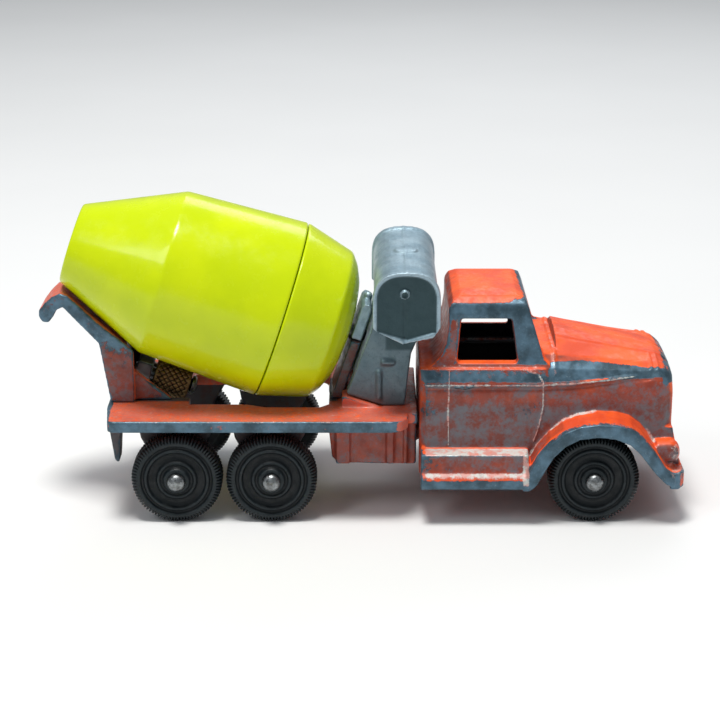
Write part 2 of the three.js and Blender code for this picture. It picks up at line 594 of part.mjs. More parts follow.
// ---------- assembly ----------
const truck = new THREE.Group();

function place(name, body, look, parent = truck) {
  const mesh = new THREE.Mesh(geometryOf(body.simplify(SMALLEST_EDGE)), new THREE.MeshStandardMaterial(look));
  mesh.name = name;
  parent.add(mesh);
  return mesh;
}

place("cab_casting", cabCasting(), paint);
place("chassis_deck", chassisDeck(), paint);
place("chute_support", chuteSupport(), paint);
place("front_bracket", frontBracket(), paint);
place("bearing_cap", bearingCap(), zinc);
place("water_tank", waterTank(), zinc);
place("tank_pedestal", tankPedestal(), zinc);

const drum = new THREE.Group();
drum.position.set(DRUM.x, 0, DRUM.z);
drum.rotation.y = DRUM.tilt;
truck.add(drum);
place("drum_rear_shell", drumRearShell(), yellowPlastic, drum);
place("drum_front_shell", drumFrontShell(), yellowPlastic, drum);
place("drum_spindle", drumSpindle(), steel, drum);

const roller = new THREE.Group();
roller.position.z = rollerDrop();
drum.add(roller);
place("carrier_roller", carrierRoller(), knurledBrass, roller);
place("roller_pin", rollerPin(), steel, roller);

for (const [where, x] of [["rear", REAR_AXLE_X], ["middle", MIDDLE_AXLE_X], ["front", FRONT_AXLE_X]]) {
  const set = new THREE.Group();
  set.position.set(x, 0, WHEEL.radius);
  truck.add(set);
  place(`axle_${where}`, axle(), steel, set);
  place(`wheel_${where}_left`, wheel(1), blackPlastic, set);
  place(`wheel_${where}_right`, wheel(-1), blackPlastic, set);
}

CAB_RIVETS.forEach((at, i) => place(`cab_rivet_${i + 1}`, rivet(at, 11.1, 14.3), zinc));
SUPPORT_RIVETS.forEach((at, i) => place(`support_rivet_${i + 1}`, rivet(at, DECK.bottom - SEAT_GAP, 18.9), zinc));
place("tank_rivet", rivet(TANK_RIVET, DECK.bottom - SEAT_GAP, 21.0), zinc);

export default truck;
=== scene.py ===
"""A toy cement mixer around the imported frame: worn castings, a glossy plastic drum and moulded wheels."""

import json
import math

import bmesh
import bpy
import numpy as np
from mathutils import Matrix, Vector

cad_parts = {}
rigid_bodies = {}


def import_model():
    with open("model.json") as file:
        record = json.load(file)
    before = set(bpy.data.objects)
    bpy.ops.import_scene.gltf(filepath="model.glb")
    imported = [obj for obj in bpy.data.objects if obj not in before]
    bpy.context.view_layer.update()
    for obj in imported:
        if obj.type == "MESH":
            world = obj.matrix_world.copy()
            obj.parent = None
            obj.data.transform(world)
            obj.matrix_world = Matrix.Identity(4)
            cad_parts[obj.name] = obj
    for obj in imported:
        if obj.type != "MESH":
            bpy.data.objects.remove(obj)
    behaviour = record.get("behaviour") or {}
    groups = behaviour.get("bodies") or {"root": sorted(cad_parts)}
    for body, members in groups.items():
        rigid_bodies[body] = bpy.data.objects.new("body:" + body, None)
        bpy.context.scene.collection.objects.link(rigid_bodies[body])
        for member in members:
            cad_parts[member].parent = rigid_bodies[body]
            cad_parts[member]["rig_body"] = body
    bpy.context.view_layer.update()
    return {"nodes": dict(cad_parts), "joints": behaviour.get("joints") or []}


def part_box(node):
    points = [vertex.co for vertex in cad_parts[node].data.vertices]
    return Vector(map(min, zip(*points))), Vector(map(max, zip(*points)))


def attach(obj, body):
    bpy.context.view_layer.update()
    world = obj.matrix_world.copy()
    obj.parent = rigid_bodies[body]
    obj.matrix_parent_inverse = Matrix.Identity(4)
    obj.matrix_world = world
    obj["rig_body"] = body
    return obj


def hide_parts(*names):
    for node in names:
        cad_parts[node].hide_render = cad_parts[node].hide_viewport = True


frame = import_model()

MM = 0.001
SCENE = bpy.context.scene

# The camera looks from the truck's right side, a little above it.
CAMERA_TILT = math.radians(19.0)
CAMERA_DISTANCE = 312 * MM
CAMERA_TARGET_Z = 22.26 * MM
CAMERA_LENS = 95.85


# ---------- places worked out from the frame ----------
def joint(name):
    """A joint's point and axis in metres."""
    found = next(j for j in frame["joints"] if j["name"] == name)
    return Vector(found["pos_m"]), Vector(found["axis"]).normalized()


def frame_along(origin, axis):
    """A placement whose X runs along axis, with Y level."""
    side = Vector((0, 1, 0))
    up = axis.cross(side)
    turn = Matrix((axis, side, up)).transposed().to_4x4()
    return Matrix.Translation(origin) @ turn


DRUM_PLACE = frame_along(*joint("drum_spin"))
ROLLER_PLACE = frame_along(*joint("roller_spin"))


# ---------- meshes ----------
def new_piece(name, body, mesh, material):
    """An object in the scene that rides on body, stands for no CAD node yet and has one material."""
    piece = bpy.data.objects.new(name, mesh)
    SCENE.collection.objects.link(piece)
    mesh.materials.clear()
    mesh.materials.append(material)
    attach(piece, body)
    return piece


def evaluated_mesh(mesh, *modifiers):
    """The mesh after modifiers, each given as (type, {setting: value})."""
    helper = bpy.data.objects.new("helper", mesh)
    SCENE.collection.objects.link(helper)
    for kind, settings in modifiers:
        modifier = helper.modifiers.new(kind, kind)
        for key, value in settings.items():
            setattr(modifier, key, value)
    depsgraph = bpy.context.evaluated_depsgraph_get()
    made = bpy.data.meshes.new_from_object(helper.evaluated_get(depsgraph))
    bpy.data.objects.remove(helper)
    return made


def shade_smooth(mesh):
    mesh.polygons.foreach_set("use_smooth", np.ones(len(mesh.polygons), bool))


def points_of(mesh):
    """The mesh's points as an N by 3 array in millimetres."""
    flat = np.zeros(len(mesh.vertices) * 3, np.float32)
    mesh.vertices.foreach_get("co", flat)
    return flat.reshape(-1, 3).astype(float) / MM


def normals_of(mesh):
    flat = np.zeros(len(mesh.vertices) * 3, np.float32)
    mesh.vertex_normals.foreach_get("vector", flat)
    return flat.reshape(-1, 3).astype(float)


def set_points(mesh, points):
    mesh.vertices.foreach_set("co", (points * MM).astype(np.float32).ravel())
    mesh.update()


def set_attribute(mesh, name, values):
    attribute = mesh.attributes.new(name, "FLOAT", "POINT")
    attribute.data.foreach_set("value", np.asarray(values, np.float32))


def edges_of(mesh):
    flat = np.zeros(len(mesh.edges) * 2, np.int32)
    mesh.edges.foreach_get("vertices", flat)
    return flat.reshape(-1, 2)


def relaxed(values, edges, rounds):
    """Each column of values averaged with its neighbours, that many times."""
    count = len(values)
    both = np.concatenate([edges, edges[:, ::-1]])
    number = np.maximum(np.bincount(both[:, 0], minlength=count), 1)
    for _ in range(rounds):
        sums = [np.bincount(both[:, 0], column[both[:, 1]], count) for column in values.T]
        values = 0.5 * values + 0.5 * np.stack(sums, 1) / number[:, None]
    return values


def ramp(values, low, high):
    """0 below low, 1 above high, smooth in between."""
    share = np.clip((values - low) / (high - low), 0, 1)
    return share * share * (3 - 2 * share)


def distance_to_path(a, b, path):
    """The distance of each point (a, b) to an open line of corners."""
    best = np.full(len(a), np.inf)
    for (a0, b0), (a1, b1) in zip(path, path[1:]):
        run = np.array([a1 - a0, b1 - b0])
        share = ((a - a0) * run[0] + (b - b0) * run[1]) / (run @ run)
        share = np.clip(share, 0, 1)
        best = np.minimum(best, np.hypot(a - a0 - share * run[0], b - b0 - share * run[1]))
    return best


def turned_mesh(name, profile, steps, place, radius_at=None):
    """A closed profile of [along, radius] corners in mm turned about the placement's X axis."""
    profile = np.array(profile, float)
    count = len(profile)
    turn = np.arange(steps) * 2 * math.pi / steps
    along = np.repeat(profile[:, 0][None], steps, 0)
    radius = np.repeat(profile[:, 1][None], steps, 0)
    if radius_at is not None:
        radius = radius_at(along, radius, turn[:, None])
    points = np.stack([along, radius * np.cos(turn)[:, None], radius * np.sin(turn)[:, None]], 2)
    ring = np.arange(steps)[:, None] * count
    here = np.arange(count)[None]
    onward = (here + 1) % count
    next_ring = np.roll(ring, -1, 0)
    faces = np.stack([ring + here, ring + onward, next_ring + onward, next_ring + here], 2).reshape(-1, 4)
    mesh = bpy.data.meshes.new(name)
    mesh.from_pydata((points.reshape(-1, 3) * MM).tolist(), [], faces[:, ::-1].tolist())
    mesh.transform(place)
    mesh.validate()
    merge_poles(mesh)
    shade_smooth(mesh)
    return mesh


def merge_poles(mesh):
    """Merges the points that meet on the axis and turns every face outwards."""
    work = bmesh.new()
    work.from_mesh(mesh)
    bmesh.ops.remove_doubles(work, verts=work.verts, dist=1e-7)
    bmesh.ops.dissolve_degenerate(work, edges=work.edges, dist=1e-7)
    bmesh.ops.recalc_face_normals(work, faces=work.faces)
    work.to_mesh(mesh)
    work.free()


def filleted(profile, radius, steps=5):
    """A closed profile with each corner between long enough sides rounded."""
    profile = [np.array(p, float) for p in profile]
    made = []
    for i, corner in enumerate(profile):
        before = profile[i - 1] - corner
        after = profile[(i + 1) % len(profile)] - corner
        if corner[1] < 1e-6 or not np.linalg.norm(before) or not np.linalg.norm(after):
            made.append(corner)
            continue
        reach = min(radius, 0.45 * np.linalg.norm(before), 0.45 * np.linalg.norm(after))
        start = corner + before / np.linalg.norm(before) * reach
        end = corner + after / np.linalg.norm(after) * reach
        for k in range(steps + 1):
            t = k / steps
            made.append((1 - t) ** 2 * start + 2 * t * (1 - t) * corner + t * t * end)
    return made


def spaced(profile, step):
    """A closed profile with points added so that none of its sides is longer than step."""
    made = []
    for i, here in enumerate(profile):
        onward = np.array(profile[(i + 1) % len(profile)], float)
        here = np.array(here, float)
        count = max(1, math.ceil(np.linalg.norm(onward - here) / step))
        if here[1] < 1e-6 and onward[1] < 1e-6:
            count = 1
        made.extend(here + (onward - here) * k / count for k in range(count))
    return made


# ---------- materials ----------
class Nodes:
    """A short way to write one material's nodes."""

    def __init__(self, name):
        self.material = bpy.data.materials.new(name)
        self.material.use_nodes = True
        self.tree = self.material.node_tree
        self.shader = self.tree.nodes["Principled BSDF"]
        self.place = self.tree.nodes.new("ShaderNodeTexCoord").outputs["Object"]

    def link(self, output, target):
        self.tree.links.new(output, target)

    def noise(self, size_mm, detail=3.0, roughness=0.6, stretch=(1, 1, 1)):
        """Noise with spots of about size_mm, from 0 to 1."""
        mapping = self.tree.nodes.new("ShaderNodeMapping")
        mapping.inputs["Scale"].default_value = [s / (size_mm * MM) for s in stretch]
        self.link(self.place, mapping.inputs["Vector"])
        node = self.tree.nodes.new("ShaderNodeTexNoise")
        node.inputs["Scale"].default_value = 1.0
        node.inputs["Detail"].default_value = detail
        node.inputs["Roughness"].default_value = roughness
        self.link(mapping.outputs["Vector"], node.inputs["Vector"])
        return node.outputs["Fac"]

    def attribute(self, name):
        node = self.tree.nodes.new("ShaderNodeAttribute")
        node.attribute_name = name
        return node.outputs["Fac"]

    def math(self, operation, a, b=0.0):
        node = self.tree.nodes.new("ShaderNodeMath")
        node.operation = operation
        for socket, value in zip(node.inputs, (a, b)):
            if isinstance(value, (int, float)):
                socket.default_value = value
            else:
                self.link(value, socket)
        return node.outputs["Value"]

    def between(self, value, low, high, to_low=0.0, to_high=1.0):
        """The value carried smoothly from low..high to to_low..to_high."""
        node = self.tree.nodes.new("ShaderNodeMapRange")
        node.interpolation_type = "SMOOTHSTEP"
        self.link(value, node.inputs["Value"])
        ends = (low, high, to_low, to_high)
        for key, end in zip(("From Min", "From Max", "To Min", "To Max"), ends):
            node.inputs[key].default_value = end
        return node.outputs["Result"]

    def mix(self, share, a, b):
        """Colour a where share is 0 and b where it is 1."""
        node = self.tree.nodes.new("ShaderNodeMix")
        node.data_type = "RGBA"
        self.link(share, node.inputs["Factor"])
        for key, value in (("A", a), ("B", b)):
            socket = next(s for s in node.inputs if s.name == key and s.type == "RGBA")
            if isinstance(value, tuple):
                socket.default_value = (*value, 1)
            else:
                self.link(value, socket)
        return next(s for s in node.outputs if s.type == "RGBA")

    def colour(self, output):
        self.link(output, self.shader.inputs["Base Color"])

    def roughness(self, output):
        self.link(output, self.shader.inputs["Roughness"])

    def bump(self, height, depth_mm):
        node = self.tree.nodes.new("ShaderNodeBump")
        node.inputs["Strength"].default_value = 1.0
        node.inputs["Distance"].default_value = depth_mm * MM
        self.link(height, node.inputs["Height"])
        self.link(node.outputs["Normal"], self.shader.inputs["Normal"])


PAINT_BRIGHT = (0.98, 0.125, 0.016)
PAINT_DEEP = (0.74, 0.075, 0.018)
# Painted shade: the next colour darkens sides, backs, undersides, gaps between parts and hollows.
PAINT_SHADE_BROWN = (0.155, 0.032, 0.022)
PAINT_FADED = (0.50, 0.15, 0.12)
ZINC_DARK = (0.040, 0.075, 0.100)
ZINC_MIDDLE = (0.105, 0.195, 0.270)
# Painted shade: the next colour darkens the tank's sunk end faces and the pedestal's sides.
ZINC_PAINTED_SHADE = (0.022, 0.050, 0.058)
ZINC_BRIGHT = (0.40, 0.50, 0.55)
# The next colour is a grey mottle laid where the painted shade is strong.
GREY_MOTTLE = (0.125, 0.150, 0.175)
# The next two colours are rubbed paint, and a painted sheen where they fall on tops that face up.
RUBBED_SHEEN_WHITE = (0.62, 0.65, 0.62)
RUBBED_SHEEN_PINK = (0.66, 0.34, 0.30)
# Painted shade: the next colour is near black where the painted shade is deepest and in hollows of bare
# zinc.
SHADE_BLACK = (0.012, 0.010, 0.011)
ZINC_SHADE = (0.23, 0.34, 0.41)
ZINC_LIGHT = (0.36, 0.48, 0.55)
DRUM_GREEN = (0.56, 0.70, 0.0)
DRUM_YELLOW = (0.64, 0.77, 0.0)
DRUM_SPECK = (0.36, 0.36, 0.0)
BLACK_PLASTIC = (0.003, 0.006, 0.008)
BLACK_WORN = (0.016, 0.024, 0.028)
STEEL_BRIGHT = (0.30, 0.32, 0.33)
STEEL_DULL = (0.11, 0.11, 0.11)
# Painted shade: the roller's colours are kept dark for the shadow under the drum, and the valley colour is
# painted shade in the knurl.
BRASS_DULL = (0.11, 0.065, 0.025)
BRASS_BRIGHT = (0.26, 0.17, 0.07)
BRASS_VALLEY_SHADE = (0.020, 0.010, 0.006)
FLOOR_LOW = (0.80, 0.80, 0.80)
FLOOR_HIGH = (0.84, 0.84, 0.84)


def zinc_colour(n):
    """Oxidised die-cast zinc, dark and bright in patches."""
    patches = n.noise(3.2, 4, 0.6)
    grain = n.noise(0.3, 4, 0.7)
    body = n.mix(n.between(patches, 0.32, 0.68), ZINC_DARK, ZINC_MIDDLE)
    return n.mix(n.between(grain, 0.58, 0.76, 0, 0.35), body, ZINC_BRIGHT)


def spots(n, size_mm, reach, detail=5, roughness=0.7):
    """Noise centred on 0, of plus or minus about a quarter of reach."""
    return n.math("MULTIPLY", n.math("SUBTRACT", n.noise(size_mm, detail, roughness), 0.5), reach)


def worn_paint(name, faded=0.0):
    """Orange-red enamel: bare zinc on edges and scuffs, whitish where it is rubbed with painted sheen on
    tops, and painted shade in brown, grey mottle and near black, also in hollows.
    """
    n = Nodes(name)
    paint = n.mix(n.between(n.noise(5.0, 4, 0.6), 0.35, 0.65), PAINT_DEEP, PAINT_BRIGHT)
    chalk = n.between(n.math("ADD", n.noise(0.8, 6, 0.75), faded), 0.60, 0.78, 0, 0.45 + faded)
    paint = n.mix(chalk, paint, PAINT_FADED)
    # Painted shade: this attribute darkens sides, backs, undersides and gaps to brown, a grey mottle, and
    # near black.
    grime = n.attribute("grime")
    shade_share = n.between(n.math("ADD", grime, spots(n, 2.2, 0.5)), 0.05, 0.75, 0, 0.95)
    paint = n.mix(shade_share, paint, PAINT_SHADE_BROWN)
    grey_share = n.between(n.math("ADD", grime, spots(n, 2.6, 2.4, 6, 0.78)), 0.42, 1.0, 0, 0.85)
    paint = n.mix(grey_share, paint, GREY_MOTTLE)
    wear = n.math("ADD", n.math("MULTIPLY", n.attribute("edge"), 0.55), n.attribute("scuff"))
    noise = n.math("ADD", spots(n, 4.0, 1.1), spots(n, 0.6, 0.8))
    bare = n.between(n.math("ADD", wear, noise), 0.30, 0.44)
    colour = n.mix(bare, paint, zinc_colour(n))
    # Rubbed paint, whitish, and painted sheen where this falls on tops that face up.
    rubbed = n.between(n.math("ADD", n.attribute("rubbed"), spots(n, 0.7, 1.5, 6, 0.8)), 0.42, 0.80, 0, 0.92)
    polish = n.mix(n.between(n.noise(1.8, 4, 0.6), 0.42, 0.56), RUBBED_SHEEN_PINK, RUBBED_SHEEN_WHITE)
    colour = n.mix(rubbed, colour, polish)
    # Painted shade in hollows.
    colour = n.mix(n.between(n.attribute("hollow"), 0.2, 0.9, 0, 0.7), colour, PAINT_SHADE_BROWN)
    n.colour(n.mix(n.between(grime, 0.80, 1.0, 0, 0.96), colour, SHADE_BLACK))
    n.link(n.math("MULTIPLY", bare, 0.45), n.shader.inputs["Metallic"])
    n.roughness(n.between(n.noise(0.9, 3, 0.6), 0.3, 0.7, 0.30, 0.58))
    n.bump(n.math("SUBTRACT", n.math("MULTIPLY", n.noise(0.5, 4, 0.65), 0.5), bare), 0.05)
    return n.material


def bare_zinc(name):
    """Bare casting metal: painted shade in hollows and where the shade attribute is set, rubbed bright along
    edges, partly a painted highlight.
    """
    n = Nodes(name)
    edge = n.attribute("edge")
    rubbed = n.math("ADD", edge, spots(n, 0.8, 1.1))
    base = n.mix(n.between(n.noise(4.0, 4, 0.6), 0.3, 0.7), ZINC_SHADE, ZINC_LIGHT)
    grained = n.mix(n.between(n.noise(0.35, 4, 0.7), 0.5, 0.75, 0, 0.4), base, ZINC_DARK)
    # Edges rubbed bright, partly a painted highlight.
    colour = n.mix(n.between(rubbed, 0.30, 0.95, 0, 0.65), grained, ZINC_BRIGHT)
    # Painted shade from the shade attribute, then painted shade in hollows.
    colour = n.mix(n.between(n.attribute("grime"), 0.0, 1.0, 0, 1.0), colour, ZINC_PAINTED_SHADE)
    n.colour(n.mix(n.between(n.attribute("hollow"), 0.1, 0.7, 0, 0.8), colour, SHADE_BLACK))
    n.shader.inputs["Metallic"].default_value = 0.55
    n.roughness(n.between(n.noise(1.1, 4, 0.6), 0.3, 0.7, 0.30, 0.52))
    n.bump(n.noise(0.5, 5, 0.7), 0.06)
    return n.material


def drum_plastic(name):
    """Glossy yellow-green moulding with faint flow marks and fine scratches."""
    n = Nodes(name)
    flow = n.noise(9.0, 3, 0.5)
    specks = n.noise(0.5, 3, 0.7)
    colour = n.mix(n.between(flow, 0.3, 0.7), DRUM_GREEN, DRUM_YELLOW)
    n.colour(n.mix(n.between(specks, 0.66, 0.8, 0, 0.3), colour, DRUM_SPECK))
    n.shader.inputs["Specular IOR Level"].default_value = 0.3
    n.shader.inputs["Coat Weight"].default_value = 0.22
    n.shader.inputs["Coat Roughness"].default_value = 0.08
    n.roughness(n.between(n.noise(2.5, 4, 0.6), 0.3, 0.7, 0.16, 0.30))
    n.bump(n.math("ADD", n.noise(3.0, 2, 0.5), n.math("MULTIPLY", n.noise(0.4, 3, 0.6), 0.15)), 0.06)
    return n.material


def wheel_plastic(name):
    """Black moulding, satin, with dusty and scuffed raised parts."""
    n = Nodes(name)
    dust = n.noise(0.6, 5, 0.75)
    worn = n.math("ADD", n.attribute("edge"), n.between(dust, 0.3, 0.7, -0.6, 0.6))
    n.colour(n.mix(n.between(worn, 0.3, 1.1, 0, 0.8), BLACK_PLASTIC, BLACK_WORN))
    n.shader.inputs["Specular IOR Level"].default_value = 0.32
    n.roughness(n.between(n.noise(1.2, 3, 0.6), 0.3, 0.7, 0.36, 0.62))
    n.bump(n.noise(0.35, 4, 0.7), 0.035)
    return n.material


def turned_steel(name):
    """Steel wire, dull with bright spots."""
    n = Nodes(name)
    tarnish = n.noise(0.7, 5, 0.7)
    n.colour(n.mix(n.between(tarnish, 0.35, 0.7), STEEL_BRIGHT, STEEL_DULL))
    n.shader.inputs["Metallic"].default_value = 1.0
    n.roughness(n.between(n.noise(0.4, 3, 0.6), 0.3, 0.7, 0.24, 0.48))
    n.bump(n.noise(0.3, 3, 0.6), 0.04)
    return n.material


def knurled_metal(name):
    """Dull golden metal kept dark as painted shade, with painted shade in the knurl's valleys."""
    n = Nodes(name)
    peaks = n.between(n.attribute("edge"), 0.1, 0.9)
    stain = n.noise(1.2, 4, 0.6)
    bright = n.mix(n.between(stain, 0.3, 0.7), BRASS_DULL, BRASS_BRIGHT)
    # Painted shade in the knurl's valleys.
    n.colour(n.mix(peaks, BRASS_VALLEY_SHADE, bright))
    n.shader.inputs["Metallic"].default_value = 0.75
    n.roughness(n.between(stain, 0.3, 0.7, 0.32, 0.5))
    n.bump(n.noise(0.3, 3, 0.6), 0.03)
    return n.material


def floor_material():
    """Plain matt off-white."""
    n = Nodes("pale_floor")
    n.colour(n.mix(n.noise(60, 2, 0.5), FLOOR_LOW, FLOOR_HIGH))
    n.shader.inputs["Roughness"].default_value = 0.9
    return n.material


RED = worn_paint("red_worn_paint")
RED_FADED = worn_paint("red_faded_paint", 0.26)
ZINC = bare_zinc("bare_zinc_casting")
YELLOW = drum_plastic("yellow_drum_plastic")
BLACK = wheel_plastic("black_wheel_plastic")
STEEL = turned_steel("axle_steel_wire")
BRASS = knurled_metal("knurled_brass_metal")


# ---------- castings ----------
EDGE_ROUNDS = 36
WEAR_AND_SHADE = ("scuff", "grime", "rubbed")  # worn to metal, painted shade, rubbed whitish with painted sheen on tops


def mark_wear_and_shade(mesh, scale, marks=None):
    """Stores how far each point stands out (edge) or lies back (hollow, later painted as shade), and the
    wear, painted shade and sheen that marks gives.
    """
    points, normals = points_of(mesh), normals_of(mesh)
    stand = ((points - relaxed(points, edges_of(mesh), EDGE_ROUNDS)) * normals).sum(1) / scale
    set_attribute(mesh, "edge", ramp(stand, 0.15, 1.0))
    set_attribute(mesh, "hollow", ramp(-stand, 0.25, 1.3))
    stated = marks(points, normals) if marks else {}
    for name in WEAR_AND_SHADE:
        set_attribute(mesh, name, stated.get(name, np.zeros(len(points))))


def casting(node, voxel, rounds, material, shape=None, marks=None):
    """The CAD node's shape with the soft edges of a die casting."""
    mesh = evaluated_mesh(
        frame["nodes"][node].data.copy(),
        ("REMESH", {"mode": "VOXEL", "voxel_size": voxel * MM}),
        ("SMOOTH", {"factor": 0.5, "iterations": rounds}),
    )
    if shape:
        set_points(mesh, shape(points_of(mesh), normals_of(mesh)))
    shade_smooth(mesh)
    mark_wear_and_shade(mesh, voxel * 1.6, marks)
    piece = new_piece(node + "_casting", frame["nodes"][node]["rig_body"], mesh, material)
    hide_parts(node)
    return piece


# Lines on the cab's sides as (corners in x and z, half width, height), in millimetres.
DOOR_REAR = ([(14.0, 24.3), (13.85, 18.0), (14.0, 12.4)], 0.26, 0.14)
DOOR_FRONT = (
    [(26.4, 24.4), (27.9, 24.0), (28.7, 22.8), (28.8, 19.0), (28.2, 15.6), (27.4, 13.0)], 0.26, 0.14,
)
TRIM = ([(9.9, 22.3), (28.4, 22.3), (34.0, 22.5), (40.0, 23.0), (45.6, 23.6)], 0.32, 0.24)
TRIM_SHADOW = ([(9.9, 21.5), (28.4, 21.5), (34.0, 21.7), (40.0, 22.2), (45.6, 22.8)], 0.4, -0.16)
HANDLE = ([(15.0, 22.0), (16.6, 21.8), (17.6, 22.2)], 0.42, 0.22)
SIDE_LINES = (DOOR_REAR, DOOR_FRONT, TRIM, TRIM_SHADOW, HANDLE)
FENDER_TOP = [
    (26.6, 10.2), (28.2, 12.6), (30.2, 14.9), (32.2, 16.6), (34.4, 17.5), (37.2, 17.9),
    (40.2, 17.7), (42.6, 17.0), (44.3, 15.8), (45.8, 14.0), (47.2, 12.0), (48.3, 10.4),
]
LOUVRES = (46.0, 47.0)
COWL_X = 30.6
CABIN_MIDDLE = (19.0, 0.0, 24.0)
CREASE_X = 6.9  # the line down each end of the tank

# The tank's sunk end face: an arch with squared shoulders over straight sides.
FACE_HALF_WIDTH = 4.8
FACE_RISE = 4.25
ARCH_Z = 36.4
ARCH_POWER = 2.5
RIVETS = ("cab_rivet_1", "cab_rivet_2", "support_rivet_1", "support_rivet_2", "tank_rivet")


def side_facing(normals, low=0.45, high=0.8):
    """1 where the surface faces left or right, 0 where it faces up, down or along the truck."""
    return ramp(np.abs(normals[:, 1]), low, high)


def band(values, low, high, soft):
    """1 between low and high, falling to 0 over soft on both sides."""
    return ramp(values, low - soft, low) * (1 - ramp(values, high, high + soft))


def near_line(points, line):
    """1 on a line given as (corners in x and z, half width, height), falling to 0 beside it."""
    corners, width, _ = line
    return 1 - ramp(distance_to_path(points[:, 0], points[:, 2], corners), width * 0.3, width)


def cab_details(points, normals):
    """Raised door lines and trim on the sides, louvres, a cowl line, hood creases and grille bars."""
    moved = points.copy()
    x, y, z = points.T
    outer = side_facing(normals) * ramp(np.abs(y), 10.4, 10.9)
    for line in SIDE_LINES:
        moved[:, 1] += np.sign(y) * outer * near_line(points, line) * line[2]
    on_hood = ramp(x, 29.4, 30.2) * ramp(normals[:, 2], 0.45, 0.75) * ramp(z, 20, 22)
    moved[:, 2] -= 0.14 * on_hood * (1 - ramp(np.abs(y), 0.1, 0.4))
    moved[:, 2] += 0.16 * on_hood * (1 - ramp(np.abs(np.abs(y) - 4.6), 0.1, 0.5))
    cowl = (1 - ramp(np.abs(x - COWL_X), 0.12, 0.5)) * ramp(normals[:, 2], 0.3, 0.6) * ramp(z, 22, 23)
    moved[:, 2] += 0.22 * cowl
    for louvre in LOUVRES:
        here = (1 - ramp(np.abs(x - louvre), 0.12, 0.4)) * band(np.abs(y), 5.4, 9.6, 0.5) * on_hood
        moved[:, 2] += 0.2 * here
    nose = ramp(normals[:, 0], 0.6, 0.85) * ramp(x, 48.6, 49.1)
    grille = nose * band(z, 11.8, 21.2, 0.5) * (1 - ramp(np.abs(y), 6.6, 7.2))
    moved[:, 0] -= grille * 0.45 * (0.5 + 0.5 * np.cos(z * 2 * math.pi / 1.45))
    return moved


def cab_scuff(x, z, wide, side, up):
    """Where the cab is worn to metal: pillars, roof edges, belt, hood shoulders, nose, rims and corners."""
    cabin = side * ramp(z, 24.9, 25.4) * (1 - ramp(x, 29.5, 30.0))
    worn = -0.35 * up * ramp(z, 12.8, 14)
    worn += cabin * (0.30 + 0.35 * ramp(x, 23.6, 24.6) + 0.25 * ramp(z, 31.8, 32.5))
    worn += 0.55 * ramp(x, 24.8, 25.9) * ramp(z, 33.0, 34.2)
    worn += 0.30 * up * ramp(x, 22.6, 24.4) * ramp(z, 33.6, 34.6)
    worn += 0.22 * up * ramp(wide, 7.6, 8.8) * ramp(z, 33, 34)
    belt = side * band(z, 22.9, 24.6, 0.3) * (1 - ramp(x, 45, 48))
    shoulders = band(z, 23.3, 25.3, 0.5) * ramp(x, 29.4, 30.2) * ramp(wide, 8.6, 9.6)
    nose = ramp(x, 47.0, 48.4) * ramp(z, 21.2, 22.6)
    worn += 0.42 * belt + 0.95 * shoulders + 0.75 * nose
    fender_rim = ramp(wide, 14.9, 15.5) * ramp(x, 25.9, 26.4)
    board_rim = ramp(wide, 12.9, 13.2) * (1 - ramp(z, 7.2, 7.9)) * (1 - ramp(x, 26.6, 27))
    board = ramp(wide, 12.8, 13.2) * (1 - ramp(x, 26, 27))
    worn += 0.75 * fender_rim + 0.70 * board_rim + 0.16 * board
    door = band(z, 17.5, 22.9, 1.5) * (1 - ramp(x, 30, 36))
    rear_corner = (1 - ramp(x, 10.4, 12.5)) * (1 - ramp(z, 24, 25))
    worn += side * (0.16 * door + 0.12 * rear_corner + 0.16 * ramp(x, 45.5, 48.5))
    return worn + 0.3 * ramp(x, 48, 49) * (1 - ramp(z, 8, 10))


def cab_painted_shade(points, normals, wide, side):
    """Painted shade on the sides and the back, in the cabin and on what faces down."""
    x, _, z = points.T
    grime = side * (0.58 * ramp(z, 7, 9) + 0.14 * band(z, 12, 18, 2))
    grime = np.maximum(grime, 0.5 * ramp(-normals[:, 0], 0.3, 0.8))
    grime *= 1 - ramp(wide, 14.6, 15.2) * ramp(x, 26, 27)
    to_middle = np.array(CABIN_MIDDLE) - points
    facing_in = (to_middle * normals).sum(1) / np.linalg.norm(to_middle, axis=1)
    inside = ramp(facing_in, 0.1, 0.3) * band(x, 10.3, 28.6, 0.3) * band(z, 13.0, 34.8, 0.3)
    inside *= 1 - ramp(wide, 10.9, 11.1)
    below = ramp(-normals[:, 2], 0.2, 0.6) * (1 - ramp(z, 26, 27)) * ramp(z, 9, 10)
    return np.maximum(grime, np.maximum(inside, 0.95 * below))


